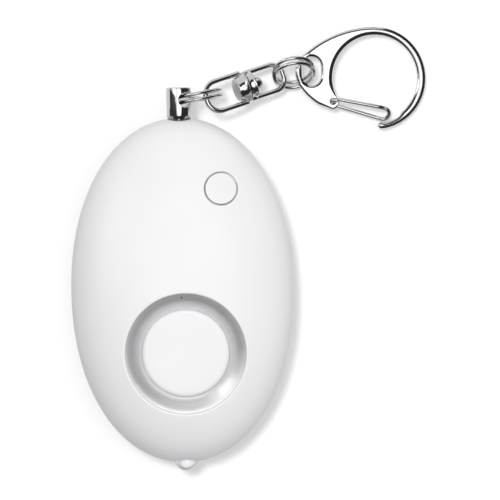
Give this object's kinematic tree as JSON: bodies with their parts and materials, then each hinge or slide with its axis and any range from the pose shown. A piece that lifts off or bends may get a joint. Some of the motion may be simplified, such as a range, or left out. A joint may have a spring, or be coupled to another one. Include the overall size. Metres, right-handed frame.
{
  "type": "personal safety alarm",
  "caption": "Egg-shaped personal alarm with round siren, light button, end light and pull pin on a swivel chain with a spring clip.",
  "frame": {"origin": "middle of the flat on the back that the case rests on", "axes": "+Z out of the front face, +Y towards the pull pin, +X to the right seen from the front"},
  "size_m": [0.0627, 0.0769, 0.017],
  "materials": {
    "case_white": "satin gloss",
    "siren_silver": "satin silver paint",
    "lens_clear": "clear",
    "chrome": "polished plate",
    "steel": "zinc plated",
    "cell_steel": "satin",
    "brass": "rolled",
    "ceramic": "matte",
    "foam": "matte foam",
    "board_green": "solder mask",
    "black_plastic": "matte",
    "copper": "enamelled wire",
    "wire_red": "soft sleeve"
  },
  "bodies": {
    "case": {"front_shell": "case_white", "rear_shell": "case_white", "siren_disc": "case_white", "siren_chamber": "case_white", "battery_tray": "case_white", "pin_socket": "case_white", "siren_ring": "siren_silver", "led_lens": "lens_clear", "case_screws": "steel", "board_screws": "steel", "battery_spring": "steel", "led_leads": "steel", "button_cell_1": "cell_steel", "button_cell_2": "cell_steel", "button_cell_3": "cell_steel", "piezo_plate": "brass", "contact_leaf_left": "brass", "contact_leaf_right": "brass", "battery_contact": "brass", "piezo_ceramic": "ceramic", "siren_gasket": "foam", "circuit_board": "board_green", "switch_body": "black_plastic", "driver_chip": "black_plastic", "transistor": "black_plastic", "chip_resistors": "black_plastic", "step_up_coil": "copper", "signal_wires": "wire_red"},
    "button": {"light_button": "case_white", "switch_plunger": "black_plastic"},
    "pull_pin": {"pin_head": "chrome", "pin_shaft": "chrome"},
    "pin_ring": {"pin_split_ring": "chrome"},
    "swivel_eye_half": {"swivel_eye": "chrome", "swivel_rivet": "chrome"},
    "swivel_bow_half": {"swivel_bow": "chrome"},
    "clip_ring": {"clip_split_ring": "chrome"},
    "clip": {"clip_hook": "chrome"},
    "gate": {"clip_gate": "chrome"}
  },
  "joints": [
    {"name": "button_press", "type": "slide", "parent": "case", "child": "button", "axis": [0, 0, -1], "range_m": [0, 0.0005], "stiffness_N_per_m": 3000},
    {"name": "pin_pull", "type": "slide", "parent": "case", "child": "pull_pin", "axis": [0, 1, 0], "range_m": [0, 0.0135]},
    {"name": "pin_ring_swing", "type": "hinge", "parent": "pull_pin", "child": "pin_ring", "pos_m": [0, 0.0331, 0.008], "axis": [0.6018, 0, 0.7986], "range_deg": [-15, 150]},
    {"name": "swivel_eye_swing", "type": "hinge", "parent": "pin_ring", "child": "swivel_eye_half", "pos_m": [0.00745, 0.0344, 0.00559], "axis": [0, 0, 1], "range_deg": [-15, 60]},
    {"name": "swivel_spin", "type": "hinge", "parent": "swivel_eye_half", "child": "swivel_bow_half", "pos_m": [0.0118, 0.03526, 0.00559], "axis": [0.912, 0.2876, -0.2924], "continuous": true},
    {"name": "clip_ring_swing", "type": "hinge", "parent": "swivel_bow_half", "child": "clip_ring", "pos_m": [0.01827, 0.0373, 0.00352], "axis": [-0.3007, 0.9537, 0], "range_deg": [-20, 20]},
    {"name": "clip_swing", "type": "hinge", "parent": "clip_ring", "child": "clip", "pos_m": [0.021, 0.03785, 0.00426], "axis": [0, 1, 0], "range_deg": [-20, 25]},
    {"name": "gate_open", "type": "hinge", "parent": "clip", "child": "gate", "pos_m": [0.02689, 0.03247, 0.00338], "axis": [0.1478, 0, 0.989], "range_deg": [0, 25], "stiffness_Nm_per_rad": 0.02}
  ]
}
